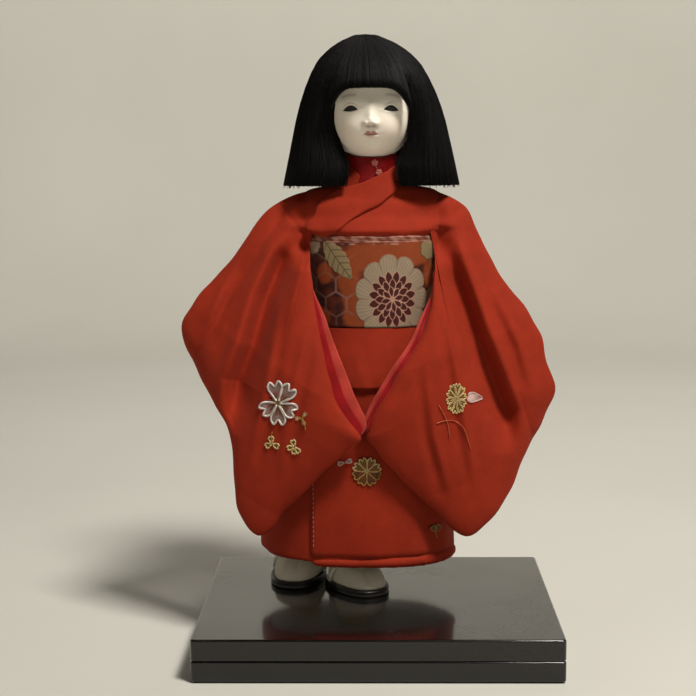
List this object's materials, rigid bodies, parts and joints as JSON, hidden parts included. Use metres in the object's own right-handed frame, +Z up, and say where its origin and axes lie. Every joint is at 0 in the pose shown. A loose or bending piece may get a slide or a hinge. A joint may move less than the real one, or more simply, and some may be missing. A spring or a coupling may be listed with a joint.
{
  "type": "ichimatsu doll",
  "caption": "Standing Japanese girl doll in a long-sleeved red kimono and brocade obi, with bobbed black hair, on a black lacquered stand.",
  "frame": {"origin": "middle of the stand's underside", "axes": "+Z up, the doll faces -Y, +X to the viewer's right"},
  "size_m": [0.2683, 0.2, 0.4329],
  "materials": {
    "lacquer": "polished black lacquer over wood",
    "steel": "plain steel",
    "felt": "black felt",
    "pulp": "moulded wood pulp",
    "padding": "cotton wadding",
    "shell_white": "burnished shell-white paint over moulded wood pulp",
    "crepe": "matte silk crepe",
    "lining": "plain silk",
    "brocade": "silk brocade with metallic thread",
    "hair": "silk floss, dyed black",
    "eye_glass": "polished dark glass",
    "cotton": "white cotton",
    "wood": "plain wood"
  },
  "bodies": {
    "stand": {"stand_felt": "felt", "stand_front_rail": "lacquer", "stand_back_rail": "lacquer", "stand_left_rail": "lacquer", "stand_right_rail": "lacquer", "stand_top_board": "lacquer", "support_post": "steel", "post_washer": "steel", "post_nut": "steel"},
    "doll": {"torso_core": "pulp", "skirt_padding": "padding", "left_leg": "wood", "right_leg": "wood", "under_skirt": "lining", "under_collar": "lining", "kimono_skirt": "crepe", "kimono_bodice": "crepe", "front_panel": "crepe", "hem_roll": "crepe", "waist_fold": "crepe", "lower_collar": "crepe", "upper_collar": "crepe", "obi_band": "brocade", "obi_knot": "brocade", "obi_left_wing": "brocade", "obi_right_wing": "brocade", "obi_tail": "brocade", "left_tabi": "cotton", "right_tabi": "cotton", "left_zori": "lacquer", "right_zori": "lacquer", "left_zori_strap": "cotton", "right_zori_strap": "cotton"},
    "neck": {"neck_peg": "wood"},
    "head": {"head": "shell_white", "hair": "hair", "left_eye": "eye_glass", "right_eye": "eye_glass"},
    "left_arm": {"left_arm": "wood", "left_hand": "shell_white", "left_sleeve": "crepe", "left_inner_sleeve": "lining"},
    "right_arm": {"right_arm": "wood", "right_hand": "shell_white", "right_sleeve": "crepe", "right_inner_sleeve": "lining"}
  },
  "joints": [
    {"name": "doll_lift", "type": "slide", "parent": "stand", "child": "doll", "axis": [0, 0, 1], "range_m": [0, 0.13]},
    {"name": "head_turn", "type": "hinge", "parent": "doll", "child": "neck", "pos_m": [-0.0035, 0.03, 0.325], "axis": [0, 0, 1], "range_deg": [-25, 25]},
    {"name": "head_lift", "type": "slide", "parent": "neck", "child": "head", "axis": [0, 0, 1], "range_m": [0, 0.055]},
    {"name": "left_arm_swing", "type": "hinge", "parent": "doll", "child": "left_arm", "pos_m": [-0.061, 0.027, 0.31], "axis": [-1, 0, 0], "range_deg": [0, 30]},
    {"name": "right_arm_swing", "type": "hinge", "parent": "doll", "child": "right_arm", "pos_m": [0.054, 0.027, 0.31], "axis": [-1, 0, 0], "range_deg": [0, 30]}
  ]
}
